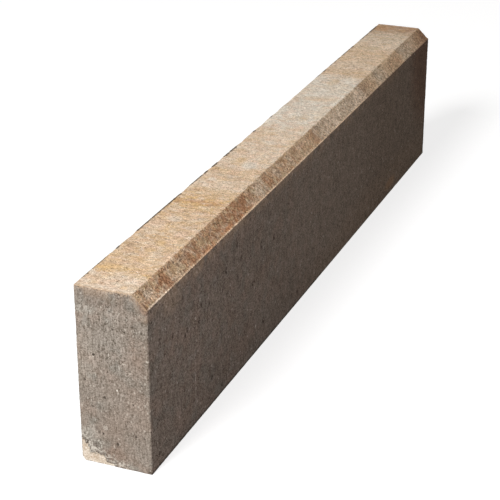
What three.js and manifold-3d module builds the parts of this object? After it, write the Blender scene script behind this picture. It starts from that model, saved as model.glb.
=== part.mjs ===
import * as THREE from 'three';
import { mergeVertices, toCreasedNormals } from 'three/addons/utils/BufferGeometryUtils.js';
import Module from 'manifold-3d';

// Concrete kerb stone: one block, pressed upright in a mould box by a stamp that shapes its top.
// Millimetres. +X runs along the kerb, +Y from the exposed front to the back, and +Z up.
// The origin is the middle of the base.

// The block.
const length = 1000;
const width = 80;
const height = 200;

// The chamfer along the top of the front, and the level ledge that the rim of the stamp
// leaves at its foot.
const chamferWidth = 15;
const chamferHeight = 15;
const ledgeWidth = 1.2;

// Rounding of the edges.
const topEdgeRadius = 1; // back of the top
const chamferEdgeRadius = 1.5; // where the top turns down into the chamfer
const baseEdgeRadius = 1; // both long edges of the base
const endEdgeRadius = 0.6; // round both end faces

// Damage at one corner of the base. The tip is knocked off flat, and a shallow flake has come
// away from the end face beside it, in scoops. Each is given by the place of its middle on the
// end face, and by its reaches along the kerb, across the end and up.
const knockedTip = { fromBack: 0, fromBase: 0, along: 14, across: 5, up: 6 };
const flakeScoops = [
  { fromBack: 0, fromBase: 0, along: 1.4, across: 19, up: 17 },
  { fromBack: 1, fromBase: 14, along: 1.1, across: 7.5, up: 14 },
  { fromBack: 8, fromBase: 8, along: 1, across: 8, up: 8 },
  { fromBack: 20, fromBase: 0, along: 1.2, across: 10, up: 7 },
  { fromBack: 30, fromBase: 0, along: 0.8, across: 7, up: 4 },
];

// Steps in a rounded edge, and round a scoop.
const edgeSteps = 3;
const scoopSteps = 40;

// The facing mix is sandstone yellow, and the core mix behind it is grey-brown.
const facingMaterial = new THREE.MeshStandardMaterial({ color: 0xccb69d, roughness: 0.9 });
const coreMaterial = new THREE.MeshStandardMaterial({ color: 0x857a6e, roughness: 0.95 });

const wasm = await Module();
wasm.setup();

// An outline through [x, y, radius] corners, counter-clockwise. An arc rounds each outer
// corner, and a radius of 0 leaves a corner sharp.
function outline(corners) {
  const shape = new THREE.Shape();
  const points = corners.map(([x, y]) => new THREE.Vector2(x, y));
  points.forEach((corner, i) => {
    const radius = corners[i][2];
    if (radius === 0) {
      shape.lineTo(corner.x, corner.y);
      return;
    }
    const back = points.at(i - 1).clone().sub(corner).normalize();
    const onward = points[(i + 1) % points.length].clone().sub(corner).normalize();
    const halfAngle = back.angleTo(onward) / 2;
    const toCentre = back.clone().add(onward).setLength(radius / Math.sin(halfAngle));
    const centre = corner.clone().add(toCentre);
    const turn = Math.PI / 2 - halfAngle;
    const middle = toCentre.negate().angle();
    shape.absarc(centre.x, centre.y, radius, middle - turn, middle + turn, false);
  });
  shape.closePath();
  return shape;
}

// A rectangle centred on x, with its lower side on y = bottom and all its corners rounded.
function roundedRectangle(sizeX, sizeY, bottom, radius) {
  const left = -sizeX / 2;
  const right = sizeX / 2;
  const top = bottom + sizeY;
  return outline([
    [left, bottom, radius],
    [right, bottom, radius],
    [right, top, radius],
    [left, top, radius],
  ]);
}

// An outline pushed through depth, with its middle at z = 0.
function prism(shape, depth) {
  const geometry = new THREE.ExtrudeGeometry(shape, {
    depth,
    curveSegments: edgeSteps,
    bevelEnabled: false,
  });
  return geometry.translate(0, 0, -depth / 2);
}

// A closed geometry as a solid that can be joined and cut.
function solid(geometry) {
  geometry.deleteAttribute('normal');
  geometry.deleteAttribute('uv');
  const welded = mergeVertices(geometry);
  return new wasm.Manifold(new wasm.Mesh({
    numProp: 3,
    vertProperties: Float32Array.from(welded.attributes.position.array),
    triVerts: Uint32Array.from(welded.index.array),
  }));
}

// Cross-section of the kerb, with x as across (+Y) and y as up (+Z).
function crossSection() {
  const front = -width / 2;
  const back = width / 2;
  const chamferFoot = height - chamferHeight;
  return outline([
    [front, 0, baseEdgeRadius],
    [back, 0, baseEdgeRadius],
    [back, height, topEdgeRadius],
    [front + ledgeWidth + chamferWidth, height, chamferEdgeRadius],
    [front + ledgeWidth, chamferFoot, 0],
    [front, chamferFoot, 0],
  ]);
}

// The whole block: what its cross-section, its plan and its side view have in common.
function block() {
  const section = prism(crossSection(), length).rotateX(Math.PI / 2).rotateZ(Math.PI / 2);
  const plan = prism(roundedRectangle(length, width, -width / 2, endEdgeRadius), height);
  plan.translate(0, 0, height / 2);
  const side = prism(roundedRectangle(length, height, 0, endEdgeRadius), width);
  side.rotateX(Math.PI / 2);
  return solid(section).intersect(solid(plan)).intersect(solid(side));
}

// A solid that bites the damaged end, from a shape of radius 1 stretched to its reaches.
function bite(unitShape, { fromBack, fromBase, along, across, up }) {
  unitShape.scale(along, across, up);
  unitShape.translate(-length / 2, width / 2 - fromBack, fromBase);
  return solid(unitShape);
}

// The block less what the corner has lost.
function damagedBlock() {
  let damaged = block().subtract(bite(new THREE.OctahedronGeometry(1), knockedTip));
  for (const scoop of flakeScoops) {
    const ball = new THREE.SphereGeometry(1, scoopSteps, scoopSteps / 2);
    damaged = damaged.subtract(bite(ball, scoop));
  }
  return damaged;
}

// Face groups for the two mixes: the stamp presses the facing mix, which is on every face
// that looks up, and the core mix is on the rest.
function groupByMix(geometry) {
  const normals = geometry.attributes.normal;
  const facing = [];
  const core = [];
  for (let first = 0; first < normals.count; first += 3) {
    const looksUp = normals.getZ(first) + normals.getZ(first + 1) + normals.getZ(first + 2) > 1;
    (looksUp ? facing : core).push(first, first + 1, first + 2);
  }
  geometry.setIndex([...facing, ...core]);
  geometry.addGroup(0, facing.length, 0);
  geometry.addGroup(facing.length, core.length, 1);
  return geometry;
}

function kerbStone() {
  const { vertProperties, triVerts } = damagedBlock().getMesh();
  const welded = new THREE.BufferGeometry();
  welded.setAttribute('position', new THREE.BufferAttribute(vertProperties, 3));
  welded.setIndex(new THREE.BufferAttribute(triVerts, 1));
  const geometry = groupByMix(toCreasedNormals(welded, Math.PI / 6));
  const mesh = new THREE.Mesh(geometry, [facingMaterial, coreMaterial]);
  mesh.name = 'kerb_stone';
  return mesh;
}

const kerb = new THREE.Group();
kerb.add(kerbStone());

export default kerb;
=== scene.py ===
"""Concrete kerb stone: its worn and pitted surface, its two concrete mixes, and a plain studio."""

import math
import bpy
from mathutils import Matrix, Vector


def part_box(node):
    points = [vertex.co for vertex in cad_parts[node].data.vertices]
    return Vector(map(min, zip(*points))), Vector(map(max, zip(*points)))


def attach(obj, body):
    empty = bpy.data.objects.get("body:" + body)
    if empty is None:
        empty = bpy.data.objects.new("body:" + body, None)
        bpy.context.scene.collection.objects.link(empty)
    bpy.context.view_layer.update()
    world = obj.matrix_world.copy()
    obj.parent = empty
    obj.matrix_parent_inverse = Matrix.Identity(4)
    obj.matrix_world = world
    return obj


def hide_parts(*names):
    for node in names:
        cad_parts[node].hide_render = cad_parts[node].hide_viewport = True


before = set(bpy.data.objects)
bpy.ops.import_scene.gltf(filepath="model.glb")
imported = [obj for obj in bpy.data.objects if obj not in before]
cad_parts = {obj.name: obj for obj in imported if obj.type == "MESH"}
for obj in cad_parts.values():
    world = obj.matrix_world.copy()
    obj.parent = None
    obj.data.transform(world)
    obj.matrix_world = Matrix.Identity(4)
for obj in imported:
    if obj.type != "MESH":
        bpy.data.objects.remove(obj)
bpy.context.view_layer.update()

from types import SimpleNamespace

import bpy
import numpy as np
from mathutils import Vector, noise

NODE = "kerb_stone"
SEED = 20

# Lengths are in millimetres until they go to Blender, which works in metres.
MM = 0.001
LOW, HIGH = (np.array(corner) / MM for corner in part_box(NODE))
LENGTH, WIDTH, HEIGHT = HIGH - LOW
NEAR, FAR = LOW[0], HIGH[0]  # the two end faces; the near one has the damaged corner
FRONT, BACK = LOW[1], HIGH[1]

# ---- Sizes of the pressed shape ----

# The surface lies a little inside the CAD faces where a burr or a fin of concrete stands on it.
TOP_SET = 0.35
BACK_SET = 0.5
CHAMFER = 15.0
LEDGE = 1.2  # level step that the stamp's rim leaves at the foot of the chamfer
LEDGE_RISE = 0.25
BASE_ROUND = 0.4
TOP_ROUND = 0.7
CHAMFER_ROUND = 1.2
LEDGE_ROUND = 0.3
END_ROUND = 0.35

TOP = HEIGHT - TOP_SET
BACK_FACE = BACK - BACK_SET
CHAMFER_TOP = FRONT + LEDGE + CHAMFER  # where the chamfer meets the top
CHAMFER_FOOT = HEIGHT - CHAMFER

# ---- Sizes of the damage. Places along the kerb are measured from the near end. ----

# The spalled corner: how far its knocked-off tip reaches along the kerb, across the end and up,
# and the flake off the end face, whose scoops have the place of their middle, from the back and
# from the base, and their reach across and up.
KNOCKED_TIP = (14, 5, 6)
FLAKE_DEPTH = 1.0
FLAKE_SCOOPS = ((0, 11, 10.5, 16), (0, 0, 16, 17), (17, 2, 13.5, 11), (30, 0, 11, 4.2))
FLAKE_STRAY = 2.2  # how far the flake's ragged outline strays
TIP_STRAY = 0.35
CRUSHED = 10.0  # how far the bruised surface reaches beyond the flake
SPALL_ZONE = (30, 60, 50)  # along, across and up: more than all of it reaches

# Fins of core mix squeezed out along the back of the top: start, end and how far they stand out.
FINS = (
    (16, 74, 0.17), (92, 101, 0.25), (140, 178, 0.3), (179, 256, 0.35), (280, 318, 0.3),
    (321, 331, 0.5), (344, 360, 0.35), (380, 396, 0.4), (399, 412, 0.5), (413, 421, 0.3),
    (472, 481, 0.4), (531, 540, 0.2), (705, 735, 0.15), (738, 752, 0.3), (764, 798, 0.15),
    (800, 812, 0.3), (820, 856, 0.25), (860, 872, 0.5), (904, 948, 0.25), (950, 985, 0.45),
)
FIN_THICKNESS = 1.3

# Places where the back of the top has crumbled: middle, half-length and depth.
CRUMBLED = (
    (88, 8, 0.4), (130, 12, 0.7), (262, 12, 0.6), (342, 5, 0.5), (366, 6, 0.6), (437, 12, 0.8),
    (504, 14, 0.9), (556, 14, 0.8), (600, 14, 0.6), (640, 12, 0.4),
)
BACK_EDGE_WORN = (530, 230, 0.5)  # the long worn stretch of that edge, in the same terms

# Depths of the roughness left by the mould.
WAVE_DEPTH = 0.06
GRAIN_DEPTH = 0.10
DRAG_DEPTH = 0.06

# Worn edges: the axis of each, its place on the other two, and the depth and shift of the wear.
X, Z = 0, 2
WORN_EDGES = (
    (X, (FRONT, 0), 0.5, 10), (X, (BACK_FACE, 0), 0.8, 20), (X, (BACK_FACE, TOP), 0.5, 30),
    (X, (CHAMFER_TOP, TOP), 0.6, 40), (X, (FRONT, CHAMFER_FOOT), 0.4, 50),
    (Z, (NEAR, FRONT), 1.35, 60), (Z, (NEAR, BACK_FACE), 0.8, 70), (Z, (FAR, FRONT), 1.3, 80),
)
END_WEAR = (3.0, 0.55)  # how far in from the edges round the end faces, and how deep

# Pores that stand out, as (along, height) on the front and (across, height) on the near end.
FRONT_PORES = (
    (18, 16, 1.7), (57, 131, 2), (87, 117, 1.9), (92, 121, 1.9), (123, 117, 2.8), (129, 133, 1.9),
    (150, 125, 1.7), (155, 33, 1.9), (197, 143, 3), (229, 160, 2.3), (240, 139, 1.8),
    (274, 93, 1.6), (280, 94, 1.4), (302, 130, 3), (309, 31, 2.7), (343, 123, 2.5), (425, 17, 2),
)
END_PORES = (
    (21.1, 125.9, 1.4), (10.8, 79, 1.5), (-21, 77.1, 1), (-22.6, 40.8, 1), (-31, 100.8, 1.1),
    (-1, 157.6, 1.2), (-14, 156.6, 1), (32, 95.6, 1.1), (14, 36.6, 1.1), (-1.9, 27.5, 1.2),
)
SCATTERED_PORES = {"front": 60, "back": 70, "top": 30, "chamfer": 40, "base": 40, "near": 14, "far": 24}
SCATTERED_SIZE = (0.7, 1.4)
RING_POCK = (21.9, 22.4, 5.2)  # across, height and radius of the ring left by a stone on the end
GROOVE_DEPTH = 0.45
GROOVE_HALF = 0.9
DISH_DEPTH = 0.5

# ---- Colours ----


def colour(code):
    """A linear colour from its sRGB hex code."""
    parts = [int(code[i:i + 2], 16) / 255 for i in (0, 2, 4)]
    return [p / 12.92 if p <= 0.04045 else ((p + 0.055) / 1.055) ** 2.4 for p in parts] + [1.0]


CREAM = colour("D4C1AA")
PALE = colour("D7CEBF")
TAN = colour("CBB192")
OCHRE = colour("CAAA7C")
PINK = colour("D5B9A2")
RUST = colour("B58E69")
OLIVE = colour("B4A17F")
BROWN = colour("A6866A")
SIENNA = colour("987154")
DRAB = colour("B79F85")
AMBER = colour("BB835C")
BEIGE = colour("C7B7A1")
UMBER = colour("6B5241")

CORE = colour("80776D")
CORE_WARM = colour("83776C")
CORE_COOL = colour("7E786F")
CORE_BROWN = colour("7A6E61")
FRACTURE = colour("B3A390")
# Dark dirt, also used as painted shade in pores, gaps, the spall's rim, on shaded edges and at the
# foot.
DIRT_AND_SHADE = colour("3A322B")
LIME = colour("D8D2C6")
LEDGE_HIGHLIGHT = colour("D1B89B")

# The facing mix is shaded in bands across the kerb: where each colour is purest.
TOP_BANDS = (
    (0, CREAM), (38, CREAM), (44, OCHRE), (58, TAN), (212, TAN), (228, OCHRE), (238, RUST),
    (250, OCHRE), (266, TAN), (288, CREAM), (340, TAN), (358, CREAM), (470, CREAM), (520, PALE),
    (712, PALE), (728, CREAM), (744, TAN), (775, CREAM), (840, TAN), (880, CREAM), (936, BEIGE),
    (962, DRAB), (982, BROWN), (1000, BROWN),
)
CHAMFER_BANDS = (
    (0, DRAB), (42, DRAB), (50, SIENNA), (64, SIENNA), (72, DRAB), (102, DRAB), (110, BROWN),
    (200, BROWN), (232, SIENNA), (272, SIENNA), (284, BROWN), (300, DRAB), (311, BEIGE),
    (329, BEIGE), (337, DRAB), (346, BROWN), (358, DRAB), (485, TAN), (506, BROWN), (518, BEIGE),
    (570, CREAM), (625, BEIGE), (665, CREAM), (694, CREAM), (706, DRAB), (740, TAN), (770, BEIGE),
    (815, TAN), (868, TAN), (884, BEIGE), (950, DRAB), (992, SIENNA),
)

# Marks on the top: place along and across, reach along and across, colour and strength.
TOP_MARKS = (
    (13, 15, 2, 1.5, BROWN, 0.6), (11, -10, 4, 4, OCHRE, 0.4), (33, -7, 1.5, 3, BROWN, 0.35),
    (50, 22, 9, 20, OCHRE, 0.5), (102, 5, 6, 6, OCHRE, 0.5), (107, 29, 6, 4, UMBER, 0.4),
    (122, 2, 9, 5, OCHRE, 0.5), (151, -10, 9, 7, PINK, 0.5), (170, 27, 10, 9, PINK, 0.5),
    (187, 15, 8, 8, PALE, 0.35), (231, 32, 3, 4, BROWN, 0.5), (273, 25, 4, 3, BROWN, 0.35),
    (276, 8, 9, 28, OCHRE, 0.25), (308, 23, 5, 5, PALE, 0.5), (322, -5, 4, 2, BROWN, 0.35),
    (363, -1, 11, 9, LIME, 0.6), (378, 15, 9, 7, OCHRE, 0.4), (437, -10, 8, 6, RUST, 0.25),
    (444, 5, 8, 9, PALE, 0.4), (472, 12, 4, 3, BROWN, 0.35), (508, -10, 8, 6, PINK, 0.5),
    (545, -3, 16, 7, OCHRE, 0.25), (578, 5, 14, 25, PALE, 0.35), (622, 5, 10, 25, TAN, 0.5),
    (662, 5, 26, 25, PALE, 0.35), (698, 10, 14, 8, OCHRE, 0.3), (726, 5, 9, 25, PALE, 0.2),
    (770, -6, 3, 3, BROWN, 0.4), (784, -9, 4, 2, BROWN, 0.4), (775, 13, 4, 4, BROWN, 0.3),
    (814, 13, 4, 3, BROWN, 0.3), (828, 5, 12, 25, CREAM, 0.25), (872, 14, 9, 18, OLIVE, 0.4),
    (975, 28, 14, 12, RUST, 0.5),
)

# The same on the chamfer, with the place and the reach down it in the second and fourth numbers.
CHAMFER_MARKS = (
    (0, 14, 5, 9, UMBER, 0.75), (22, 7, 9, 5, PALE, 0.25), (59, 9, 7, 11, SIENNA, 0.7),
    (79, 3, 4, 2.5, UMBER, 0.4), (85, 8, 13, 7, OLIVE, 0.35), (92, 7, 3, 2.5, UMBER, 0.5),
    (117, 8, 6, 8, SIENNA, 0.5), (134, 6, 4, 5, UMBER, 0.35), (155, 7, 13, 4, OLIVE, 0.5),
    (155, 15, 18, 2.5, AMBER, 0.4), (211, 13, 12, 2.5, AMBER, 0.45), (262, 6, 13, 7, SIENNA, 0.5),
    (291, 6, 8, 6, BROWN, 0.25), (318, 8, 8, 9, BEIGE, 0.5), (345, 8, 11, 9, SIENNA, 0.22),
    (373, 8, 9, 6, BEIGE, 0.5), (379, 8, 2.5, 3, UMBER, 0.4), (417, 8, 5, 8, BEIGE, 0.35),
    (440, 8, 10, 8, BROWN, 0.3), (461, 5, 13, 3, PINK, 0.35), (525, 3, 6, 3, UMBER, 0.3),
    (703, 9, 5, 4, UMBER, 0.4), (764, 3, 4, 3, UMBER, 0.4), (835, 9, 30, 9, SIENNA, 0.18),
    (862, 8, 13, 10, SIENNA, 0.2), (881, 2, 5, 3, UMBER, 0.4), (1000, 11, 22, 14, UMBER, 0.4),
)

# Soft blotches: colour, size, stretch across, share, and shift of the noise.
TOP_BLOTCHES = ((OCHRE, 12, 1.8, 0.34, 31), (PINK, 9, 1.6, 0.45, 37),
                (PALE, 10, 1.8, 0.28, 43), (RUST, 6, 1.6, 0.22, 47))
CHAMFER_BLOTCHES = ((OLIVE, 8, 1, 0.6, 51), (RUST, 7, 1, 0.55, 57),
                    (BEIGE, 8, 1, 0.4, 63), (SIENNA, 6, 1, 0.6, 67))

# Marks on the near end: place across and up, then reach along, across and up. The thin one along the
# front edge is painted shade, where that edge turns away from the light.
END_MARKS = (
    (4, HEIGHT - 10, 3, 40, 9, DIRT_AND_SHADE, 0.15), (29, 174, 3, 12, 6, LIME, 0.13),
    (8, 140, 3, 20, 26, CORE_COOL, 0.4), (-12, 62, 3, 26, 46, CORE_WARM, 0.6),
    (28, 34, 3, 15, 9, LIME, 0.14), (21, 42, 2, 1.8, 2.6, DIRT_AND_SHADE, 0.5),
    (18, 38, 2, 1.8, 2.6, DIRT_AND_SHADE, 0.5), (11, 44, 2, 3.2, 3.2, LIME, 0.25),
    (2, 14, 3, 14, 9, UMBER, 0.25), (4, 36, 3, 16, 24, UMBER, 0.1),
    (-2, 27, 2, 1.3, 3.6, DIRT_AND_SHADE, 0.5), (32, 122, 3, 14, 30, PALE, 0.07),
    (FRONT + 3, CHAMFER_FOOT + 2, 3, 7, 8, UMBER, 0.6), (FRONT + 8, 135, 3, 14, 50, UMBER, 0.15),
    (FRONT + 2, 3, 3, 4, 4, DIRT_AND_SHADE, 0.35), (FRONT, 115, 3, 1.6, 70, DIRT_AND_SHADE, 0.15),
    (-4.1, 90.2, 1, 1.2, 1.2, LIME, 0.7), (-38.1, 128.9, 1, 1.2, 1.4, LIME, 0.35),
    (12.5, 108.4, 1, 2, 2, LIME, 0.12), (-13, 121.5, 1, 4.5, 0.8, LIME, 0.16),
    (-7, 117, 1, 1.2, 2.4, LIME, 0.14),
)

# Marks on the front: place along and up, then reach along, across and up. The drab one low along the
# far half is painted light; the one at 150 along and 26 up, the dark one 190 up at the far end and the
# strip along the far edge are painted shade.
FRONT_MARKS = (
    (56, 172, 22, 1, 16, TAN, 0.16), (122, 178, 16, 1, 8, TAN, 0.18),
    (111, 46, 0.9, 1, 32, LIME, 0.35), (113, 124, 1.6, 1.6, 2.2, LIME, 0.6),
    (126, 140, 1.6, 1.6, 2.2, LIME, 0.5), (284, 34, 2, 1.6, 2, LIME, 0.6),
    (821, 16, 24, 2, 8, RUST, 0.35), (790, 5, 330, 2, 45, DRAB, 0.13),
    (560, 120, 180, 2, 120, LIME, 0.045), (150, 26, 110, 2, 45, DIRT_AND_SHADE, 0.09),
    (LENGTH, 185, 90, 2, 130, UMBER, 0.8), (LENGTH, 190, 64, 2, 120, DIRT_AND_SHADE, 0.22),
    (LENGTH, 100, 3.2, 2, 160, DIRT_AND_SHADE, 0.6),
)
ROUGH_PATCH = ((NEAR, 2, 144), (3, 14, 26))  # where the near end is coarser

# ---- Camera, lights and floor ----

CAMERA_PLACE = (-1.67689, -0.61369, 0.83423)
CAMERA_HEADING = 0.37837  # radians from +X towards +Y
CAMERA_PITCH = -0.42122  # radians above the horizon
CAMERA_LENS = 109.323  # mm
CAMERA_SENSOR = 36.0


def add_object(name, data):
    thing = bpy.data.objects.new(name, data)
    bpy.context.scene.collection.objects.link(thing)
    return thing


class Nodes:
    """The node tree of a world or a material, with a short call for what is done often."""

    def __init__(self, owner):
        owner.use_nodes = True
        self.tree = owner.node_tree
        self.tree.nodes.clear()

    def add(self, kind, **values):
        """A node, with values for its settings (small letters) and its inputs."""
        node = self.tree.nodes.new("ShaderNode" + kind)
        for name, value in values.items():
            if name.islower():
                setattr(node, name, value)
            else:
                self.put(node.inputs[name], value)
        return node

    def put(self, socket, value):
        if isinstance(value, bpy.types.NodeSocket):
            self.tree.links.new(value, socket)
        else:
            socket.default_value = value

    def fill(self, node, *values):
        """Puts values into a node's first sockets, and returns its first output."""
        for socket, value in zip(node.inputs, values):
            self.put(socket, value)
        return node.outputs[0]

    def math(self, operation, *values):
        return self.fill(self.add("Math", operation=operation), *values)

    def where_seen(self, unseen, seen):
        """One shader for the light on the stone, and another for rays that show the background
        itself: from the camera, in a mirror or through glass."""
        path = self.add("LightPath").outputs
        shown = self.math("MAXIMUM", path["Is Camera Ray"], path["Is Glossy Ray"])
        shown = self.math("MAXIMUM", shown, path["Is Transmission Ray"])
        return self.fill(self.add("MixShader"), shown, unseen, seen)


def add_camera():
    data = bpy.data.cameras.new("camera")
    data.sensor_width = CAMERA_SENSOR
    data.lens = CAMERA_LENS
    camera = add_object("camera", data)
    camera.location = CAMERA_PLACE
    level = math.cos(CAMERA_PITCH)
    forward = Vector((level * math.cos(CAMERA_HEADING), level * math.sin(CAMERA_HEADING),
                      math.sin(CAMERA_PITCH)))
    camera.rotation_euler = forward.to_track_quat("-Z", "Y").to_euler()
    bpy.context.scene.camera = camera


# The lights: place, what it aims at, size, power and colour.
KEY_LIGHT = ((-4.62, 1.03, 3.6), (-0.5, 0, 0.1), 2, 505, (1, 1, 1))
FILL_LIGHT = ((-1.1, -1.2, 0.6), (-0.4, -0.04, 0.1), 0.8, 7.6, (1, 0.9, 0.91))
AMBIENT = (1.0, 0.87, 0.80, 1.0)
AMBIENT_STRENGTH = 0.085


def add_softbox(name, place, aim, size, power, tint):
    data = bpy.data.lights.new(name, "AREA")
    data.shape = "DISK"
    data.size = size
    data.energy = power
    data.color = tint
    lamp = add_object(name, data)
    lamp.location = place
    lamp.rotation_euler = (Vector(aim) - Vector(place)).to_track_quat("-Z", "Y").to_euler()


def light_world():
    """A dim warm surround that lights the stone, and that is white where it is seen."""
    world = bpy.data.worlds.new("studio")
    bpy.context.scene.world = world
    nodes = Nodes(world)
    dim = nodes.add("Background", Color=AMBIENT, Strength=AMBIENT_STRENGTH)
    white = nodes.add("Background", Color=(1.0, 1.0, 1.0, 1.0), Strength=1.0)
    both = nodes.where_seen(dim.outputs[0], white.outputs[0])
    nodes.add("OutputWorld", Surface=both)


FLOOR_SIZE = 12.0
FLOOR_PAPER = (0.20, 0.18, 0.165, 1.0)  # what the floor throws back on the stone
# The floor as it is seen: a colour that takes light and shadow, and a glow of its own.
FLOOR_SHOWN = (0.32, 0.32, 0.32, 1.0)
FLOOR_GLOW = 0.80


def add_floor():
    """White paper: as seen it is white with a soft shadow, and it throws little light back."""
    half = FLOOR_SIZE / 2
    mesh = bpy.data.meshes.new("floor")
    mesh.from_pydata([(-half, -half, 0), (half, -half, 0), (half, half, 0), (-half, half, 0)],
                     [], [(0, 1, 2, 3)])
    material = bpy.data.materials.new("white_paper")
    mesh.materials.append(material)
    nodes = Nodes(material)
    paper = nodes.add("BsdfDiffuse", Color=FLOOR_PAPER)
    shown = nodes.add("BsdfDiffuse", Color=FLOOR_SHOWN)
    glow = nodes.add("Emission", Strength=FLOOR_GLOW)
    seen = nodes.fill(nodes.add("AddShader"), shown.outputs[0], glow.outputs[0])
    both = nodes.where_seen(paper.outputs[0], seen)
    nodes.add("OutputMaterial", Surface=both)
    floor = add_object("floor", mesh)


# ---- The stone's mesh: a fine grid over the pressed shape ----

ALONG_STEPS = 940
ACROSS_STEPS = 66
UP_STEPS = 190
CHAMFER_STEPS = 24
LEDGE_STEPS = 3
ARC_STEPS = 3  # in half of a rounded corner
EDGE_GRADING = 0.62  # how much finer the grid is beside an edge than in the middle of a face
MOST_FACES = 190000
MAP_GAP = 4.0  # between the faces laid out on the UV map
BOX_GAP = 0.001  # between the mesh and the sides of the CAD box


def graded(steps):
    """Shares from 0 to 1 that lie closer together towards both ends."""
    t = np.linspace(0, 1, steps + 1)
    return t - EDGE_GRADING * np.sin(2 * np.pi * t) / (2 * np.pi)


def straight(start, end, steps):
    return start + (end - start) * graded(steps)[:, None]


def corner_arc(before, corner, after):
    """Points round a corner of the outline. Each corner is (across, up, radius)."""
    radius = corner[2]
    before, corner, after = (np.array(p[:2], float) for p in (before, corner, after))
    to_before = (before - corner) / np.linalg.norm(before - corner)
    to_after = (after - corner) / np.linalg.norm(after - corner)
    half = math.acos(np.clip(to_before @ to_after, -1, 1)) / 2
    inward = to_before + to_after
    centre = corner + inward / np.linalg.norm(inward) * radius / math.sin(half)
    first = corner + to_before * radius / math.tan(half) - centre
    last = corner + to_after * radius / math.tan(half) - centre
    turn = math.atan2(first[0] * last[1] - first[1] * last[0], first @ last)
    angles = math.atan2(first[1], first[0]) + turn * np.linspace(0, 1, 2 * ARC_STEPS + 1)
    return centre + radius * np.column_stack((np.cos(angles), np.sin(angles)))


def outline():
    """The section's outline in (across, up), counter-clockwise from the front of the base: the
    closed ring of points, and how many steps its base and its back have."""
    corners = [
        (FRONT, 0, BASE_ROUND), (BACK_FACE, 0, BASE_ROUND), (BACK_FACE, TOP, TOP_ROUND),
        (CHAMFER_TOP, TOP, CHAMFER_ROUND), (FRONT + LEDGE, CHAMFER_FOOT + LEDGE_RISE, LEDGE_ROUND),
        (FRONT, CHAMFER_FOOT, LEDGE_ROUND),
    ]
    arcs = [corner_arc(*three) for three in zip(corners[-1:] + corners, corners, corners[1:] + corners)]

    def side(steps, *turns):
        """The outline from the middle of its first turn to the middle of its last."""
        points = [arcs[turns[0]][ARC_STEPS:]]
        for start, end, count in zip(turns, turns[1:], steps):
            points += straight(arcs[start][-1], arcs[end][0], count)[1:], arcs[end][1:]
        return np.vstack(points)[:-ARC_STEPS]

    front = side((CHAMFER_STEPS, LEDGE_STEPS, UP_STEPS), 3, 4, 5, 0)
    base = side((ACROSS_STEPS,), 0, 1)
    back = side((len(front) - 1 - 2 * ARC_STEPS,), 1, 2)
    top = side((ACROSS_STEPS,), 2, 3)
    ring = np.vstack([points[:-1] for points in (base, back, top, front)])
    return ring, len(base) - 1, len(back) - 1


def stations():
    """Places along the kerb, each with how far its ring is drawn in to round the end."""
    turn = np.linspace(0, np.pi / 2, ARC_STEPS + 2)[:-1]
    rounding = END_ROUND * (1 - np.cos(turn))
    drawn_in = END_ROUND * (1 - np.sin(turn))
    middle = NEAR + END_ROUND + (LENGTH - 2 * END_ROUND) * graded(ALONG_STEPS)
    places = np.concatenate((NEAR + rounding, middle, FAR - rounding[::-1]))
    insets = np.concatenate((drawn_in, np.zeros(len(middle)), drawn_in[::-1]))
    return places, insets


def ring_normals(ring):
    run = np.roll(ring, -1, axis=0) - np.roll(ring, 1, axis=0)
    outward = np.column_stack((run[:, 1], -run[:, 0]))
    return outward / np.linalg.norm(outward, axis=1)[:, None]


def cap_inside(ring, grid):
    """Points inside an end face: a Coons patch of the ring's base, back, top and front."""
    base, top = ring[grid[:, 0]], ring[grid[:, -1]]
    front, back = ring[grid[0]], ring[grid[-1]]
    u = np.linspace(0, 1, len(base))[:, None, None]
    v = np.linspace(0, 1, len(back))[None, :, None]
    patch = ((1 - v) * base[:, None] + v * top[:, None] + (1 - u) * front[None] + u * back[None]
             - (1 - u) * (1 - v) * base[0] - u * (1 - v) * base[-1]
             - (1 - u) * v * top[0] - u * v * top[-1])
    return patch[1:-1, 1:-1]


def cap_grid(first, inside, across, up):
    """Vertex numbers over an end face, rim and inside, as a grid of across by up."""
    ends = np.cumsum((first, across, up, across, up))
    base, back, top, front = (np.arange(a, b + 1) for a, b in zip(ends, ends[1:]))
    front[-1] = first
    grid = np.empty((across + 1, up + 1), int)
    grid[1:-1, 1:-1] = inside + np.arange((across - 1) * (up - 1)).reshape(across - 1, up - 1)
    grid[:, 0], grid[-1], grid[:, -1], grid[0] = base, back, top[::-1], front[::-1]
    return grid


def quads_of(grid):
    corners = (grid[:-1, :-1], grid[1:, :-1], grid[1:, 1:], grid[:-1, 1:])
    return np.stack(corners, axis=-1).reshape(-1, 4)


def pressed_shape():
    """Vertices and quads of the whole stone as it left the mould."""
    ring, across, up = outline()
    outward = ring_normals(ring)
    places, insets = stations()
    count = len(ring)
    rings = ring - outward * insets[:, None, None]
    along = np.broadcast_to(places[:, None, None], (len(places), count, 1))
    points = [np.concatenate((along, rings), axis=2).reshape(-1, 3)]
    around = np.append(np.arange(count), 0)
    tube = np.arange(len(places))[:, None] * count + around
    quads = [quads_of(tube.T)]
    total = len(points[0])
    for station, flip in ((0, False), (len(places) - 1, True)):
        first = station * count
        grid = cap_grid(first, total, across, up)
        flat = cap_inside(rings[station], grid - first).reshape(-1, 2)
        points.append(np.column_stack((np.full(len(flat), places[station]), flat)))
        cap = quads_of(grid)
        quads.append(cap if flip else cap[:, ::-1])
        total += len(flat)
    return np.vstack(points), np.vstack(quads)


def get_all(items, name, width, kind=np.float32):
    """One property of all the items of a mesh, with a row for each."""
    flat = np.empty(len(items) * width, kind)
    items.foreach_get(name, flat)
    return flat.reshape(-1, width)


def set_all(items, name, values, kind=np.float32):
    items.foreach_set(name, np.asarray(values).astype(kind).ravel())


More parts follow.
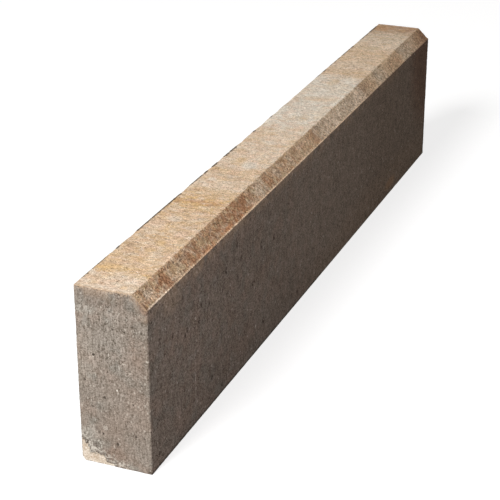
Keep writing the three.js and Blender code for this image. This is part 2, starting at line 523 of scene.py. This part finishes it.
def mesh_of(name, points, quads):
    """A Blender mesh from points in millimetres."""
    mesh = bpy.data.meshes.new(name)
    mesh.vertices.add(len(points))
    set_all(mesh.vertices, "co", points * MM)
    mesh.loops.add(quads.size)
    set_all(mesh.loops, "vertex_index", quads, np.int32)
    mesh.polygons.add(len(quads))
    set_all(mesh.polygons, "loop_start", np.arange(0, quads.size, 4), np.int32)
    mesh.update(calc_edges=True)
    return mesh


# ---- Wear and damage ----
# Each step moves some of the stone's points inwards, and some leave a mark: a number at every
# point that the concrete's colour and relief follow.


def bumps(points, size, octaves, shift):
    """Noise of about -1 to 1 at points, with lumps of the given size (one number or three)."""
    placed = points / np.array(size, float) + shift
    return np.array([noise.fractal(Vector(p), 1, 2, octaves) for p in placed])


def along_noise(x, size, shift):
    """Noise of about -1 to 1 that changes only along the kerb, looked up from a fine table."""
    table_x = np.arange(NEAR - 5, FAR + 5, 0.5)
    table = [noise.fractal(Vector((t / size, shift, 0)), 1, 2, 4) for t in table_x]
    return np.interp(x, table_x, table)


def smooth_step(value, low, high):
    t = np.clip((value - low) / (high - low), 0, 1)
    return t * t * (3 - 2 * t)


def hump(x, middle, half, height):
    """A low rise of a height along the kerb, round a middle given from the near end."""
    return height * np.maximum(1 - ((x - NEAR - middle) / half) ** 2, 0)


def depths_inside(y, z):
    """How far points lie inside the front, the back, the base, the top and the chamfer."""
    chamfer = ((y - FRONT - LEDGE) - (z - CHAMFER_FOOT)) / math.sqrt(2)
    return np.stack((y - FRONT, BACK_FACE - y, z, TOP - z, chamfer))


def depth_below_stamp(points):
    """How far each point lies below the top, the chamfer and the ledge that the stamp pressed."""
    y, z = points[:, 1], points[:, 2]
    top, chamfer = depths_inside(y, z)[3:]
    return np.minimum(top, np.where(y > FRONT + LEDGE, chamfer, CHAMFER_FOOT - z))


def roughen(points, normals):
    """Shallow waves, grain and the upright drag marks of the mould, all cut inwards."""
    waves = 1 + bumps(points, 70, 2, 3.1)
    grain = 0.6 + bumps(points, 4, 3, 11.7)
    drag = 0.6 + bumps(points, (1.6, 1.6, 60), 2, 5.3)
    upright = 1 - np.abs(normals[:, 2])
    cut = WAVE_DEPTH * waves + GRAIN_DEPTH * grain + DRAG_DEPTH * drag * upright
    return points - normals * np.maximum(cut, 0)[:, None]


def wear_edge(points, worn, along, place, depth, shift):
    """Wears a straight edge along an axis to a bevel of an uneven depth. The place of the edge
    is given on the other two axes."""
    across = [axis for axis in range(3) if axis != along]
    away = sum(np.abs(points[:, axis] - at) for axis, at in zip(across, place)) * math.sqrt(0.5)
    near = np.where(away < 2 * depth)[0]
    run = points[near, along]
    uneven = (0.6 + 0.3 * along_noise(run, 23, shift) + 0.5 * along_noise(run, 5, shift + 4)
              + 0.4 * along_noise(run, 1.8, shift + 8))
    amount = np.maximum(depth * np.clip(uneven, 0.1, 2) - away[near], 0)
    for axis, at in zip(across, place):
        middle = (LOW[axis] + HIGH[axis]) / 2
        points[near, axis] += math.copysign(math.sqrt(0.5), middle - at) * amount
    worn[near] = np.maximum(worn[near], amount / depth)


def wear_ends(points, worn, width, depth):
    """Wears the edges round both end faces in the same uneven way."""
    sides = depths_inside(points[:, 1], points[:, 2])
    inwards = np.array(((1, 0), (-1, 0), (0, 1), (0, -1), (math.sqrt(0.5), -math.sqrt(0.5))))
    nearest = sides.argmin(axis=0)
    to_side = np.maximum(sides.min(axis=0), 0)
    for end, into in ((NEAR, 1), (FAR, -1)):
        reach = np.hypot(points[:, 0] - end, to_side)
        near = np.where(reach < width)[0]
        spots = points[near]
        uneven = 0.3 + 0.6 * bumps(spots, 8, 3, 40 + into)
        uneven += 0.7 * bumps(spots, 2.2, 2, 50 + into)
        near_edge = (1 - reach[near] / width) ** 1.5
        amount = depth * np.clip(uneven, 0, 2) * near_edge / math.sqrt(2)
        points[near, 0] += into * amount
        points[near, 1:] += inwards[nearest[near]] * amount[:, None]
        worn[near] = np.maximum(worn[near], amount / depth)


def crumble_back_edge(points):
    """Lowers the back of the top where it has crumbled or been worn."""
    x, y, z = points.T
    low = hump(x, *BACK_EDGE_WORN)
    for spot in CRUMBLED:
        low = low + hump(x, *spot)
    low *= 1 + 0.4 * along_noise(x, 3, 71)
    near = smooth_step(y, BACK_FACE - 6, BACK_FACE - 0.5) * smooth_step(z, TOP - 4, TOP - 0.5)
    points[:, 2] -= low * near


def raise_fins(points):
    """Pulls the thin fins of core mix out of the back of the top. Returns where they are."""
    x, y, z = points.T
    run = x - NEAR
    reach = np.zeros(len(points))
    for start, end, out in FINS:
        inside = smooth_step(run, start - 1, start + 1.5) * smooth_step(-run, -end - 1, -end + 1.5)
        reach = np.maximum(reach, out * inside)
    uneven = 0.7 + 0.8 * along_noise(x, 2.4, 90) + 0.5 * along_noise(x, 9, 94)
    reach *= np.clip(uneven, 0.1, 1)
    middle = TOP - FIN_THICKNESS / 2
    strip = np.clip(1 - np.abs(z - middle) / FIN_THICKNESS, 0, 1) * (y > BACK_FACE - 2)
    lip = smooth_step(y, BACK_FACE - 1.6, BACK_FACE - 0.3) * (z > TOP - 1)
    points[:, 1] += reach * np.minimum(strip * 1.8, 1)
    points[:, 2] += lip * reach * TOP_SET
    return np.minimum(3 * reach * np.maximum(strip, lip), 1)


def spall_corner(points):
    """Breaks the near, back corner of the base. Returns how freshly broken each point is, and
    how bruised the old surface beside the break is."""
    broken, crushed = np.zeros((2, len(points)))
    from_corner = np.abs(points - (NEAR, BACK, 0))
    close = np.where((from_corner < SPALL_ZONE).all(axis=1))[0]
    spot = points[close]
    across = np.maximum(BACK - spot[:, 1], 0)
    up = np.maximum(spot[:, 2], 0)
    flat = spot * (0, 1, 1)
    inside = np.full(len(spot), -CRUSHED)
    for from_back, from_base, wide, high in FLAKE_SCOOPS:
        away = np.hypot((across - from_back) / wide, (up - from_base) / high)
        inside = np.maximum(inside, (1 - away) * min(wide, high))
    inside += FLAKE_STRAY * bumps(flat, 4, 4, 61)
    floor = FLAKE_DEPTH * smooth_step(inside, 0, 1.4) * (1 + 0.25 * bumps(flat, 3.5, 3, 64))
    moved = np.maximum(floor - (spot[:, 0] - NEAR), 0)
    spot[:, 0] += moved
    tip = 1 / np.array(KNOCKED_TIP)
    inward = tip / np.linalg.norm(tip)
    below = 1 - ((spot[:, 0] - NEAR) * tip[0] + across * tip[1] + up * tip[2])
    below = np.maximum(below / np.linalg.norm(tip) + TIP_STRAY * bumps(spot, 2.4, 3, 66), 0)
    below *= (across < 2.5 * KNOCKED_TIP[1]) & (up < 2.5 * KNOCKED_TIP[2])
    spot += below[:, None] * inward * (1, -1, 1)
    points[close] = spot
    broken[close] = np.clip((moved + below) / (0.6 * FLAKE_DEPTH), 0, 1)
    on_face = spot[:, 0] < NEAR + 2 * FLAKE_DEPTH
    crushed[close] = smooth_step(inside, -CRUSHED, -CRUSHED / 4) * on_face
    return broken, crushed


def pit(points, marks, centre, inward, radius, depth):
    """Presses a round pit of a radius and depth in at a centre on the surface."""
    inward = np.array(inward, float)
    close = np.where(np.abs(points[:, 0] - centre[0]) < radius)[0]
    away = points[close] - centre
    away -= (away @ inward)[:, None] * inward
    share = 1 - (away ** 2).sum(axis=1) / radius ** 2
    facing = ((points[close] - centre) @ inward < 4) & (share > 0)
    close, share = close[facing], share[facing]
    points[close] += inward * (depth * np.sqrt(share))[:, None]
    marks[close] = np.maximum(marks[close], share)


CHAMFER_IN = (0, math.sqrt(0.5), -math.sqrt(0.5))


def scattered_pores(draw):
    """Random pores on every face, as (centre, inward direction, radius)."""
    for face, how_many in SCATTERED_PORES.items():
        for _ in range(how_many):
            along = draw.uniform(NEAR + 3, FAR - 3)
            across = draw.uniform(FRONT + 5, BACK - 5)
            up = draw.uniform(6, CHAMFER_FOOT - 4)
            down = draw.uniform(1.5, CHAMFER - 1.5)
            centre, inward = {
                "front": ((along, FRONT, up), (0, 1, 0)),
                "back": ((along, BACK_FACE, up), (0, -1, 0)),
                "top": ((along, max(across, CHAMFER_TOP + 2), TOP), (0, 0, -1)),
                "chamfer": ((along, CHAMFER_TOP - down, TOP - down), CHAMFER_IN),
                "base": ((along, across, 0), (0, 0, 1)),
                "near": ((NEAR, across, max(up, 40)), (1, 0, 0)),
                "far": ((FAR, across, up), (-1, 0, 0)),
            }[face]
            yield centre, inward, draw.uniform(*SCATTERED_SIZE)


def sink_pores(points):
    """Presses in the pores, and returns how deep in one each point is."""
    marks = np.zeros(len(points))
    for along, up, radius in FRONT_PORES:
        pit(points, marks, (NEAR + along, FRONT, up), (0, 1, 0), radius, radius)
    for across, up, radius in END_PORES:
        pit(points, marks, (NEAR, across, up), (1, 0, 0), radius, radius)
    for centre, inward, radius in scattered_pores(np.random.default_rng(SEED)):
        pit(points, marks, centre, inward, radius, 0.8 * radius)
    return marks


def ring_pock(points):
    """The shallow ring that a stone just under the surface has left on the near end."""
    y, z, radius = RING_POCK
    reach = np.hypot(points[:, 1] - y, points[:, 2] - z)
    close = np.where((points[:, 0] < NEAR + 1.5) & (reach < 2 * radius))[0]
    reach = reach[close]
    groove = GROOVE_DEPTH * np.exp(-((reach - radius) / GROOVE_HALF) ** 2)
    dish = DISH_DEPTH * np.maximum(1 - (reach / radius) ** 2, 0)
    points[close, 0] += groove + dish


def thinned(mesh, name):
    """The same mesh with its faces merged where it is flat, down to what it may hold."""
    thick = add_object("thick", mesh)
    modifier = thick.modifiers.new("thin", "DECIMATE")
    modifier.ratio = MOST_FACES / (2 * len(mesh.polygons))
    graph = bpy.context.evaluated_depsgraph_get()
    thin = bpy.data.meshes.new_from_object(thick.evaluated_get(graph))
    bpy.data.objects.remove(thick)
    bpy.data.meshes.remove(mesh)
    thin.name = name
    return thin


def coordinates(mesh):
    """The mesh's points, in millimetres."""
    return get_all(mesh.vertices, "co", 3).astype(float) / MM


def keep_in_box(mesh):
    points = np.clip(coordinates(mesh), LOW + BOX_GAP, HIGH - BOX_GAP)
    set_all(mesh.vertices, "co", points * MM)
    mesh.update()


def lay_out_map(mesh):
    """A UV map that lays the stone's faces out flat in rows, for a bake."""
    x, y, z = get_all(mesh.polygons, "center", 3).T / MM
    face = np.vstack((depths_inside(y, z), x - NEAR, FAR - x)).argmin(axis=0)
    face = np.repeat(face, get_all(mesh.polygons, "loop_total", 1, np.int32)[:, 0])
    vertex = get_all(mesh.loops, "vertex_index", 1, np.int32)[:, 0]
    x, y, z = coordinates(mesh)[vertex].T
    x, y = x - NEAR, y - FRONT
    down_chamfer = (y + z - CHAMFER_FOOT) / math.sqrt(2)
    heights = (HEIGHT, HEIGHT, WIDTH, WIDTH, 2 * CHAMFER, HEIGHT)
    rows = np.cumsum((MAP_GAP,) + heights) + MAP_GAP * np.arange(len(heights) + 1)
    u = np.choose(face, (x, x, x, x, x, y, y + WIDTH + MAP_GAP)) + MAP_GAP
    v = np.choose(face, (z, z, y, y, down_chamfer, z, z)) + rows[np.minimum(face, 5)]
    layout = mesh.uv_layers.new(name="OFBake")
    set_all(layout.data, "uv", np.column_stack((u, v)) / (LENGTH + 2 * MAP_GAP))


def add_stone():
    points, quads = pressed_shape()
    below = np.clip(depth_below_stamp(points), -2, 20)
    moulded = mesh_of("moulded", points, quads)
    points = roughen(points, get_all(moulded.vertex_normals, "vector", 3).astype(float))
    bpy.data.meshes.remove(moulded)
    worn = np.zeros(len(points))
    for edge in WORN_EDGES:
        wear_edge(points, worn, *edge)
    wear_ends(points, worn, *END_WEAR)
    crumble_back_edge(points)
    pores = sink_pores(points)
    ring_pock(points)
    fins = raise_fins(points)
    broken, crushed = spall_corner(points)
    mesh = mesh_of("pressed", points, quads)
    marks = dict(below=below, worn=worn, pore=pores, fin=fins, broken=broken, crushed=crushed)
    for name, values in marks.items():
        set_all(mesh.attributes.new(name, "FLOAT", "POINT").data, "value", values)
    mesh = thinned(mesh, "kerb_surface")
    keep_in_box(mesh)
    lay_out_map(mesh)
    mesh.shade_smooth()
    mesh.materials.clear()
    mesh.materials.append(kerb_concrete())
    return add_object("kerb_surface", mesh)


# ---- The concrete: one material, with the facing mix on what the stamp pressed ----

SHAKE_SCALE = 0.55  # bends per millimetre in the outlines of grains and patches
SHAKE_REACH = 2.2

# Where the concrete changes along the kerb: where each change starts, and where it is complete.
RICH_FLECKS = (380, 150)
CALM_TOP = (450, 700)
CALM_CHAMFER = (350, 600)
RUSTY_FOOT = (100, 270)  # from where to where, half way through both changes
# The painted highlight on the ledge: where it turns whiter, and where it fades out.
WHITE_LEDGE = (80, 30)
BRIGHT_LEDGE = (820, 600)
COARSE_FACING = (450, 750)
SOFT_FACING = (100, 700)
SLURRY = (920, 800)
BROWN_CORE = (60, 800)
# where the darker foot of the sides fades: soiling, and painted shade where the stone meets the floor
FOOT_SOIL_AND_SHADE = (620, 420)
BACK_LINE = (520, 460)


class Shader(Nodes):
    """A material's nodes, with a call for each field and colour. Sizes are in millimetres."""

    def __init__(self, name):
        self.material = bpy.data.materials.new(name)
        super().__init__(self.material)
        spot = self.add("TexCoord").outputs["Object"]
        self.spot = self.vector("MULTIPLY", spot, (1 / MM,) * 3)
        self.x, self.y, self.z = self.add("SeparateXYZ", Vector=self.spot).outputs
        shake = self.add("TexNoise", Vector=self.spot, Scale=SHAKE_SCALE, Detail=1)
        shake = self.vector("SUBTRACT", shake.outputs["Color"], (0.5,) * 3)
        shake = self.vector("MULTIPLY", shake, (SHAKE_REACH,) * 3)
        self.shaken = self.vector("ADD", self.spot, shake)

    def product(self, first, *others):
        for other in others:
            first = self.math("MULTIPLY", first, other)
        return first

    def plus(self, base, share, amount):
        """base, with the whole amount added where share is 1."""
        return self.math("MULTIPLY_ADD", share, amount, base)

    def varied(self, base, amount, share):
        """base, raised or lowered by amount as share goes from 0.5 up to 1 or down to 0."""
        return self.plus(base, self.math("MULTIPLY_ADD", share, 2, -1), amount)

    def toned(self, *parts):
        """A tone of about 1, varied by each (field, amount) in turn."""
        tone = 1
        for field, amount in parts:
            tone = self.varied(tone, amount, field)
        return tone

    def contrast(self, tone, factor):
        """tone, with its distance from 1 made larger by a factor."""
        return self.plus(1, self.math("SUBTRACT", tone, 1), factor)

    def vector(self, operation, a, b=(0, 0, 0)):
        node = self.add("VectorMath", operation=operation)
        self.fill(node, a, b)
        return node.outputs["Value" if operation == "LENGTH" else "Vector"]

    def step(self, value, low, high):
        """0 at low and 1 at high, eased between them. low may be the larger."""
        node = self.add("MapRange", interpolation_type="SMOOTHSTEP")
        return self.fill(node, value, low, high)

    def along(self, low, high):
        """The same along the kerb, with low and high measured from the near end."""
        return self.step(self.x, NEAR + low, NEAR + high)

    def mix(self, a, b, share, blend="MIX"):
        node = self.add("Mix", data_type="RGBA", blend_type=blend)
        self.put(node.inputs[0], share)
        self.put(node.inputs[6], a)
        self.put(node.inputs[7], b)
        return node.outputs[2]

    def stained(self, shade, *stains):
        """shade under stains: each is a colour, then the shares that multiply to its strength."""
        for stain, *shares in stains:
            shade = self.mix(shade, stain, self.product(*shares))
        return shade

    def placed(self, spot, size, stretch, shift):
        """A spot in lumps of the given size, drawn out along the axes by stretch."""
        scaled = self.vector("MULTIPLY", spot, [1 / (size * part) for part in stretch])
        return self.vector("ADD", scaled, (shift,) * 3)

    def noise(self, size, detail, shift, stretch=(1, 1, 1), roughness=0.5):
        """Noise from 0 to 1 with lumps of the given size."""
        spot = self.placed(self.spot, size, stretch, shift)
        node = self.add("TexNoise", Vector=spot, Scale=1, Detail=detail, Roughness=roughness)
        return node.outputs["Fac"]

    def cloud(self, size, low, high, shift, detail=2):
        """Soft-edged clouds of the given size: 1 in a cloud."""
        return self.step(self.noise(size, detail, shift), low, high)

    def grains(self, size, shift, stretch=(1, 1, 1)):
        """Packed grains: the distance to the middle of each, and its own number from 0 to 1."""
        spot = self.placed(self.shaken, size, stretch, shift)
        node = self.add("TexVoronoi", Vector=spot, Scale=1)
        own = self.add("SeparateColor", Color=node.outputs["Color"])
        return node.outputs["Distance"], own.outputs[0]

    def specks(self, size, reach, share, shift, stretch=(1, 1, 1)):
        """Separate specks: a share of the grains of a size has one, reaching out by reach of it."""
        distance, own = self.grains(size, shift, stretch)
        return self.product(self.step(distance, reach, reach * 0.6), self.math("LESS_THAN", own, share))

    def attribute(self, name):
        return self.add("Attribute", attribute_name=name).outputs["Fac"]

    def grain(self, shade, tone, warmth):
        """shade, darker or lighter by the factor tone. Warmth keeps dark grains from greying."""
        red = self.math("POWER", tone, 1 - 0.12 * warmth)
        blue = self.math("POWER", tone, 1 + 0.21 * warmth)
        tint = self.add("CombineColor", Red=red, Green=tone, Blue=blue)
        return self.mix(shade, tint.outputs[0], 1, "MULTIPLY")

    def ramp(self, value, stops):
        """A colour from (place along the kerb, colour) stops."""
        node = self.add("ValToRGB", Fac=self.math("DIVIDE", value, LENGTH))
        elements = node.color_ramp.elements
        for _ in stops[2:]:
            elements.new(1)
        for element, (place, shade) in zip(elements, stops):
            element.position = place / LENGTH
            element.color = shade
        return node.outputs["Color"]

    def patch(self, centre, reach):
        """1 in a ragged, soft-edged patch round a centre, with its reach along each axis."""
        away = self.vector("DIVIDE", self.vector("SUBTRACT", self.shaken, centre), reach)
        return self.step(self.vector("LENGTH", away), 1.3, 0.6)


def facing_share(s):
    """1 on the facing mix: on all the stamp pressed, and thinly a little way down the sides."""
    below = s.attribute("below")
    pressed = s.step(below, 1.1, 0.5)
    off_front = s.step(s.y, FRONT + 0.2, FRONT + 3)
    spill = s.plus(-0.8, s.noise(3.5, 3, 2), 7.8)
    spilt = s.step(s.math("SUBTRACT", below, spill), 1, -1)
    spilt = s.product(spilt, off_front, s.cloud(1.7, 0.38, 0.62, 13), 0.75)
    slurry = s.product(s.step(below, 18, 1), s.cloud(12, 0.36, 0.6, 18, 3), 0.34, s.along(*SLURRY))
    return s.math("MAXIMUM", pressed, s.math("MAXIMUM", spilt, slurry))


def sand_fields(s):
    """The grain of the concrete, as fields that its colour and its relief share."""
    to_fine, fine = s.grains(1.4, 0.5)
    to_coarse, coarse = s.grains(3.2, 1.5)
    return SimpleNamespace(
        to_fine=to_fine, fine=fine, to_coarse=to_coarse, coarse=coarse,
        grit=s.noise(1.2, 2, 3, (1, 1, 1.3), 0.6),
        streaks=s.noise(1.7, 2, 5, (1.2, 1, 7), 0.6),
        lines=s.noise(2.2, 2, 6, (1, 2, 1), 0.6),
        clumps=s.noise(12, 3, 15),
        gaps=s.specks(4.6, 0.26, 0.09, 21, (1, 1, 1.8)),
        pits=s.specks(4.2, 0.28, 0.17, 77),
    )


def facing_marks():
    """The marks on the top and the chamfer, as add_marks takes them."""
    for along, across, reach, spread, stain, strength in TOP_MARKS:
        yield (NEAR + along, across, TOP), (reach, spread, 3), stain, strength
    for along, down, reach, spread, stain, strength in CHAMFER_MARKS:
        place = (NEAR + along, CHAMFER_TOP - down, TOP - down)
        yield place, (reach, spread, spread), stain, strength


def core_marks():
    """The marks on the near end and the front, in the same way."""
    for across, up, *reach, stain, strength in END_MARKS:
        yield (NEAR, across, up), reach, stain, strength
    for along, up, *reach, stain, strength in FRONT_MARKS:
        yield (NEAR + along, FRONT, up), reach, stain, strength


def add_marks(s, shade, marks):
    for place, reach, stain, strength in marks:
        shade = s.stained(shade, (stain, s.patch(place, reach), strength))
    return shade


def blotched(s, shade, blotches, strength):
    """shade with soft blotches, weakened to a strength."""
    for stain, size, stretch, share, shift in blotches:
        blotch = s.step(s.noise(size, 1, shift, (1, stretch, 1)), 0.48, 0.62)
        shade = s.stained(shade, (stain, blotch, share, strength))
    return shade


def top_colour(s, along):
    """Sandstone bands and blotches, with pale flecks that are most common near the near end."""
    calmer = s.plus(1, s.along(*CALM_TOP), -0.35)
    shade = blotched(s, s.ramp(along, TOP_BANDS), TOP_BLOTCHES, calmer)
    near = s.varied(0.35, 0.3, s.along(*RICH_FLECKS))
    return s.stained(shade, (LIME, s.specks(3.4, 0.34, 0.12, 83), near))


def chamfer_colour(s, along):
    """Darker bands than the top's, mottled, with a rusty foot and, on the ledge under it, a painted
    highlight broken by painted shade.
    """
    calmer = s.plus(1, s.along(*CALM_CHAMFER), -0.65)
    shade = blotched(s, s.ramp(along, CHAMFER_BANDS), CHAMFER_BLOTCHES, calmer)
    start, end = RUSTY_FOOT
    foot = s.product(s.step(s.z, CHAMFER_FOOT + 5, CHAMFER_FOOT + 1.5), s.cloud(10, 0.42, 0.58, 53, 3),
                     s.along(start - 20, start + 20), s.along(end + 60, end - 60))
    shoulder = s.step(s.z, CHAMFER_FOOT + 9, CHAMFER_FOOT + 14)
    pale = s.stained(LEDGE_HIGHLIGHT, (LIME, s.along(*WHITE_LEDGE), 0.35))
    on_ledge = s.step(s.y, FRONT + LEDGE + 0.6, FRONT + LEDGE + 0.1)
    return s.stained(
        shade,
        (AMBER, foot, 0.35),
        (OLIVE, shoulder, s.cloud(8, 0.38, 0.58, 59, 3), 0.3),
        # The ledge's top: painted shade, then a painted highlight over it where it is unbroken, whiter
        # at the near end and fading out along the kerb.
        (UMBER, on_ledge, 0.4),
        (pale, on_ledge, s.along(*BRIGHT_LEDGE), s.cloud(6, 0.3, 0.44, 61, 3)))


def facing_mix(s, sand):
    """The sandstone facing: finer lines run across its top, and its chamfer is darker."""
    along = s.math("SUBTRACT", s.x, NEAR)
    along = s.varied(along, 14, s.noise(26, 3, 7))
    along = s.varied(along, 12, s.noise(5, 2, 17, (1, 2, 1)))
    edge = s.varied(CHAMFER_TOP, 1.6, s.noise(2.6, 2, 19))
    on_chamfer = s.step(s.math("SUBTRACT", s.y, edge), 0.4, -0.4)
    shade = s.mix(top_colour(s, along), chamfer_colour(s, along), on_chamfer)
    shade = add_marks(s, shade, facing_marks())

    far = s.along(*COARSE_FACING)
    tone = s.toned(
        (sand.fine, 0.3), (sand.coarse, s.plus(0.1, far, 0.14)), (sand.grit, 0.75),
        (sand.lines, s.plus(0.28, far, -0.18)), (sand.clumps, 0.16))
    strength = s.plus(0.96, on_chamfer, 0.46)
    strength = s.plus(strength, s.along(*SOFT_FACING), -0.22)
    shade = s.grain(shade, s.contrast(tone, strength), 0.3)
    by_end = s.product(s.along(2.6, 0.6), s.cloud(2.2, 0.22, 0.45, 25))
    return s.stained(
        shade,
        # Painted shade in the pits, which the relief sinks, and in the larger pits towards the far end.
        (UMBER, sand.pits, 0.55),
        (UMBER, s.specks(9, 0.2, 0.25, 91), far, 0.4),
        (UMBER, on_chamfer, s.cloud(2.6, 0.54, 0.66, 23), 0.3),
        (DRAB, s.step(s.attribute("below"), 0.2, 1), 0.5),
        # Along the near end of the top: browner dirt, and painted shade that keeps that edge from
        # catching light.
        (DRAB, by_end, 0.5),
        (UMBER, by_end, 0.34))


def core_mix(s, sand):
    """Grey-brown concrete, faintly clouded, with upright drag marks, pale flecks and gaps."""
    shade = s.stained(
        CORE,
        (CORE_WARM, s.cloud(30, 0.42, 0.62, 4, 3)),
        (CORE_COOL, s.cloud(22, 0.48, 0.66, 9, 3)),
        # Browner and darker towards the far end: partly the concrete's own change, partly painted shade
        # where the light falls off along the kerb.
        (CORE_BROWN, s.along(*BROWN_CORE)))
    shade = add_marks(s, shade, core_marks())

    from_middle = s.math("ABSOLUTE", s.x)
    on_end = s.step(from_middle, LENGTH / 2 - 3, LENGTH / 2 - 1)
    tone = s.toned(
        (sand.fine, s.plus(0.46, on_end, -0.04)), (sand.coarse, 0.06),
        (sand.grit, s.plus(0.85, on_end, -0.25)), (sand.streaks, s.plus(0.42, on_end, 0.4)),
        (sand.clumps, s.plus(0.36, on_end, -0.22)))
    calmer = s.plus(-0.1, s.step(s.z, 150, 20), -0.16)
    strength = s.plus(1, on_end, calmer)
    strength = s.plus(strength, s.step(from_middle, 320, 120), -0.08)
    strength = s.plus(strength, s.patch(*ROUGH_PATCH), 0.12)
    shade = s.grain(shade, s.contrast(tone, strength), 0.4)
    flecks = s.specks(3.6, 0.3, 0.1, 12, (1, 1, 1.8))
    on_side = s.step(s.math("ABSOLUTE", s.y), WIDTH / 2 - 2.5, WIDTH / 2 - 1.5)
    return s.stained(
        shade,
        (LIME, flecks, s.plus(0.52, on_end, -0.24)),
        # Painted shade in the small gaps, which the relief sinks.
        (DIRT_AND_SHADE, sand.gaps, s.plus(0.36, on_end, -0.2)),
        # Darker along the foot of the sides: soiling, and painted shade where the stone meets the
        # floor.
        (DIRT_AND_SHADE, s.step(s.z, 4.2, 1.6), on_side, s.along(*FOOT_SOIL_AND_SHADE), 0.6))


def weathered_and_shaded(s, shade, facing):
    """Worn arrises, paler on the core mix and browner on the facing, with painted shade on the worn
    edges and on the dark fins.
    """
    worn = s.attribute("worn")
    core = s.math("SUBTRACT", 1, facing)
    line = s.product(s.step(s.y, BACK_FACE - 0.9, BACK_FACE - 0.3), s.step(s.z, TOP - 3, TOP - 2))
    return s.stained(
        shade,
        (LIME, s.step(worn, 0.1, 0.4), core, s.step(s.z, 165, 130), s.cloud(3, 0.56, 0.66, 29), 0.3),
        # Painted shade on the worn edges of the core mix, whose bevels turn away from the light.
        (DIRT_AND_SHADE, s.step(worn, 0.05, 0.3), core, 0.25),
        # Browner worn edges on the facing: partly dirt, partly painted shade that keeps them from
        # catching light.
        (DRAB, s.step(worn, 0.1, 0.5), facing, 0.35),
        # The line behind the fins and the fins themselves: dark core mix, darkened further with painted
        # shade.
        (DIRT_AND_SHADE, line, s.along(*BACK_LINE), s.cloud(5, 0.35, 0.55, 27), 0.6),
        (DIRT_AND_SHADE, s.step(s.attribute("fin"), 0.05, 0.35), 0.85))


def spalled(s, shade, sand):
    """The broken corner: pale inside the break and paler towards its base, which is painted light, with
    a rim of painted shadow under the step and a bruised surface round it.
    """
    broken, crushed = s.attribute("broken"), s.attribute("crushed")
    fresh = s.stained(
        FRACTURE,
        (LIME, s.cloud(8, 0.4, 0.6, 39, 3), 0.35),
        # Paler towards the base: painted light, where the floor lights the break from below.
        (PALE, s.step(s.z, 6, 2), 0.4))
    fresh = s.grain(fresh, s.toned((sand.fine, 0.2), (sand.grit, 0.5)), 1)
    return s.stained(
        shade,
        (LIME, crushed, s.cloud(3, 0.48, 0.58, 33), 0.45),
        (DIRT_AND_SHADE, crushed, s.cloud(2.6, 0.46, 0.38, 35), 0.62),
        (fresh, s.step(broken, 0.45, 0.8)),
        # Painted shadow along the rim, under the step where the flake broke away.
        (DIRT_AND_SHADE, s.step(broken, 0, 0.2), s.step(broken, 0.7, 0.4), 0.5))


def ringed(s, shade):
    """The pock on the near end: a broken pale ring, with dark hollows inside it."""
    across, up, radius = RING_POCK
    away = s.vector("LENGTH", s.vector("SUBTRACT", s.shaken, (NEAR, across, up)))
    ring = s.step(s.math("ABSOLUTE", s.math("SUBTRACT", away, radius)), 1.5, 0.5)
    return s.stained(
        shade,
        (LIME, ring, s.cloud(2.4, 0.44, 0.56, 41), 0.45),
        (DIRT_AND_SHADE, s.step(away, radius, radius / 2), s.cloud(2.4, 0.52, 0.44, 45), 0.45))


def open_pores(s, shade):
    """Painted shade: the dark mouths of the larger pores, drawn out upright by the mould, and the pores
    pressed into the mesh.
    """
    mouths = [((NEAR + along, FRONT, up), (r, 2, 1.7 * r)) for along, up, r in FRONT_PORES]
    mouths += [((NEAR, across, up), (2, r, 1.2 * r)) for across, up, r in END_PORES]
    shade = add_marks(s, shade, [(*mouth, DIRT_AND_SHADE, 0.85) for mouth in mouths])
    return s.stained(shade, (DIRT_AND_SHADE, s.step(s.attribute("pore"), 0.05, 0.7), 0.6))


def relief(s, sand, facing):
    """Relief finer than the mesh, from the same grain as the colours."""
    core = s.math("SUBTRACT", 1, facing)
    height = s.product(sand.grit, 0.35)
    for field, amount in (
            (sand.fine, 0.12), (sand.to_fine, -0.25), (sand.to_coarse, -0.12),
            (s.product(sand.streaks, core), 0.1), (s.product(sand.lines, facing), 0.3),
            (s.product(sand.pits, facing), -0.3), (s.product(sand.gaps, core), -0.3)):
        height = s.plus(height, field, amount)
    return s.add("Bump", Height=height, Strength=1, Distance=MM).outputs[0]


def kerb_concrete():
    s = Shader("kerb_concrete")
    sand = sand_fields(s)
    facing = facing_share(s)
    shade = s.mix(core_mix(s, sand), facing_mix(s, sand), facing)
    shade = weathered_and_shaded(s, shade, facing)
    shade = ringed(s, spalled(s, shade, sand))
    shade = open_pores(s, shade)
    roughness = s.varied(0.88, 0.1, sand.grit)
    surface = s.add("BsdfPrincipled", **{
        "Base Color": shade, "Roughness": roughness, "Normal": relief(s, sand, facing),
        "Specular IOR Level": 0.1})
    s.add("OutputMaterial", Surface=surface.outputs[0])
    return s.material


# ---- Put together ----

add_camera()
add_softbox("key", *KEY_LIGHT)
add_softbox("fill", *FILL_LIGHT)
light_world()
add_floor()

stone = add_stone()
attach(stone, "root")
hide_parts(NODE)

bpy.context.scene.view_settings.view_transform = "Standard"
